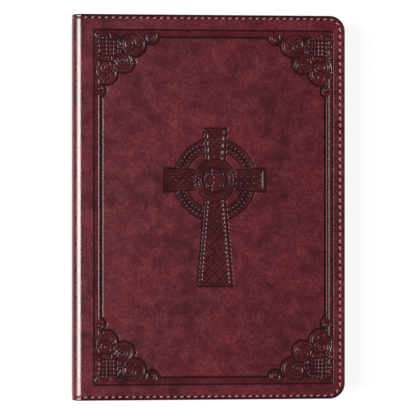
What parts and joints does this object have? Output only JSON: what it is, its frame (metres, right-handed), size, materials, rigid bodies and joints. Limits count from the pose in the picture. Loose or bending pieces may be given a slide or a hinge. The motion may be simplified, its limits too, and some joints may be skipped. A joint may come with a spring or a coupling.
{
  "type": "prayer book",
  "caption": "Limp leather-bound prayer book with a sewn edge, a tooled frame and a ringed cross on its cover; the cover and the pages open.",
  "frame": {"origin": "centre of the underside of the closed book, lying on its back cover", "axes": "+X from the spine to the fore edge, +Y from the tail to the head of the pages, +Z from the back cover up to the front cover"},
  "size_m": [0.14, 0.197, 0.028],
  "materials": {
    "burgundy_leather": "embossed, semi-matte",
    "seam_thread": "twisted thread",
    "grey_board": "plain",
    "endpaper": "smooth",
    "page_paper": "gilt edges",
    "kraft_lining": "plain",
    "gauze": "open weave",
    "page_band": "woven"
  },
  "bodies": {
    "back_cover": {"back_cover_leather": "burgundy_leather", "back_board": "grey_board", "back_pastedown": "endpaper", "back_stitching": "seam_thread", "back_joint_leather": "burgundy_leather", "back_free_endpaper": "endpaper", "section_12": "page_paper"},
    "spine": {"spine_leather": "burgundy_leather", "spine_inlay": "grey_board", "spine_lining": "kraft_lining", "spine_gauze": "gauze", "head_band": "page_band", "tail_band": "page_band", "front_joint_leather": "burgundy_leather"},
    "front_block": {"front_free_endpaper": "endpaper", "section_01": "page_paper"},
    "front_cover": {"front_cover_leather": "burgundy_leather", "front_board": "grey_board", "front_pastedown": "endpaper", "front_stitching": "seam_thread"},
    "section_02": {"section_02": "page_paper"},
    "section_03": {"section_03": "page_paper"},
    "section_04": {"section_04": "page_paper"},
    "section_05": {"section_05": "page_paper"},
    "section_06": {"section_06": "page_paper"},
    "section_07": {"section_07": "page_paper"},
    "section_08": {"section_08": "page_paper"},
    "section_09": {"section_09": "page_paper"},
    "section_10": {"section_10": "page_paper"},
    "section_11": {"section_11": "page_paper"}
  },
  "joints": [
    {"name": "spine_hinge", "type": "hinge", "parent": "back_cover", "child": "spine", "pos_m": [-0.06868, 0, 0.00132], "axis": [0, -1, 0], "range_deg": [0, 90], "deforming": ["back_joint_leather"]},
    {"name": "front_block_hinge", "type": "hinge", "parent": "spine", "child": "front_block", "pos_m": [-0.06868, 0, 0.02668], "axis": [0, -1, 0], "range_deg": [0, 90], "deforming": ["front_joint_leather"]},
    {"name": "front_cover_hinge", "type": "hinge", "parent": "front_block", "child": "front_cover", "pos_m": [-0.067, 0, 0.02815], "axis": [0, -1, 0], "range_deg": [0, 180], "deforming": ["front_joint_leather"]},
    {"name": "section_02_slide", "type": "slide", "parent": "front_block", "child": "section_02", "axis": [-1, 0, 0], "range_m": [0, 0.00541]},
    {"name": "section_03_slide", "type": "slide", "parent": "front_block", "child": "section_03", "axis": [-1, 0, 0], "range_m": [0, 0.00718]},
    {"name": "section_04_slide", "type": "slide", "parent": "front_block", "child": "section_04", "axis": [-1, 0, 0], "range_m": [0, 0.00894]},
    {"name": "section_05_slide", "type": "slide", "parent": "front_block", "child": "section_05", "axis": [-1, 0, 0], "range_m": [0, 0.01071]},
    {"name": "section_06_slide", "type": "slide", "parent": "front_block", "child": "section_06", "axis": [-1, 0, 0], "range_m": [0, 0.01248]},
    {"name": "section_07_slide", "type": "slide", "parent": "back_cover", "child": "section_07", "axis": [-1, 0, 0], "range_m": [0, 0.01248]},
    {"name": "section_08_slide", "type": "slide", "parent": "back_cover", "child": "section_08", "axis": [-1, 0, 0], "range_m": [0, 0.01071]},
    {"name": "section_09_slide", "type": "slide", "parent": "back_cover", "child": "section_09", "axis": [-1, 0, 0], "range_m": [0, 0.00894]},
    {"name": "section_10_slide", "type": "slide", "parent": "back_cover", "child": "section_10", "axis": [-1, 0, 0], "range_m": [0, 0.00718]},
    {"name": "section_11_slide", "type": "slide", "parent": "back_cover", "child": "section_11", "axis": [-1, 0, 0], "range_m": [0, 0.00541]}
  ],
  "couplings": [
    {"joint": "front_block_hinge", "follows": "spine_hinge", "ratio": 1},
    {"joint": "section_02_slide", "follows": "spine_hinge", "m_per_rad": 0.003437},
    {"joint": "section_03_slide", "follows": "spine_hinge", "m_per_rad": 0.004562},
    {"joint": "section_04_slide", "follows": "spine_hinge", "m_per_rad": 0.005687},
    {"joint": "section_05_slide", "follows": "spine_hinge", "m_per_rad": 0.006812},
    {"joint": "section_06_slide", "follows": "spine_hinge", "m_per_rad": 0.007937},
    {"joint": "section_07_slide", "follows": "spine_hinge", "m_per_rad": 0.007937},
    {"joint": "section_08_slide", "follows": "spine_hinge", "m_per_rad": 0.006812},
    {"joint": "section_09_slide", "follows": "spine_hinge", "m_per_rad": 0.005687},
    {"joint": "section_10_slide", "follows": "spine_hinge", "m_per_rad": 0.004562},
    {"joint": "section_11_slide", "follows": "spine_hinge", "m_per_rad": 0.003437}
  ]
}
